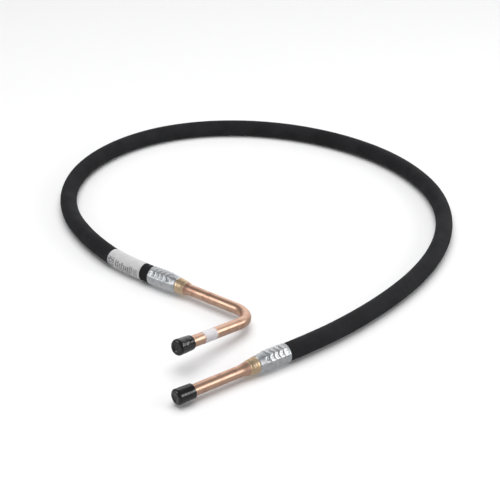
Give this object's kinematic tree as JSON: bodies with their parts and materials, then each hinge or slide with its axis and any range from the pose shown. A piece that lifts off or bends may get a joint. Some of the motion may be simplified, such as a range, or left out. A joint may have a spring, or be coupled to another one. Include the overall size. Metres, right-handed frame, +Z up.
{
  "type": "refrigerant suction line",
  "caption": "Flexible refrigerant suction line: black hose crimped at each end to a copper tube, one straight and one with an elbow, with push-on caps.",
  "frame": {"origin": "on the floor that the line lies on, under the middle of the box around its two end fittings", "axes": "-X along the straight tube, out of its capped end; +Z up; +Y from the straight tube towards the bent tube's ferrule"},
  "size_m": [0.6491, 0.6655, 0.0471],
  "materials": {
    "hose_rubber": "matt black barrier hose with a fine cloth grain",
    "zinc_plated_steel": "zinc-plated steel, satin, crimped",
    "brass": "turned brass, satin",
    "copper": "drawn copper tube, bright with a light tarnish",
    "cap_vinyl": "glossy black dipped vinyl",
    "label_film": "white label film"
  },
  "bodies": {
    "line": {"hose": "hose_rubber", "hose_label": "label_film", "ferrule_bent_end": "zinc_plated_steel", "ferrule_straight_end": "zinc_plated_steel", "stem_bent_end": "brass", "stem_straight_end": "brass", "bent_tube": "copper", "straight_tube": "copper", "tube_label": "label_film"},
    "bent_tube_cap": {"cap_bent_tube": "cap_vinyl"},
    "straight_tube_cap": {"cap_straight_tube": "cap_vinyl"}
  },
  "joints": [
    {"name": "bent_cap_pull", "type": "slide", "parent": "line", "child": "bent_tube_cap", "axis": [-0.9662, -0.2049, 0.1563], "range_m": [0, 0.032]},
    {"name": "straight_cap_pull", "type": "slide", "parent": "line", "child": "straight_tube_cap", "axis": [-1, 0, 0], "range_m": [0, 0.032]}
  ]
}
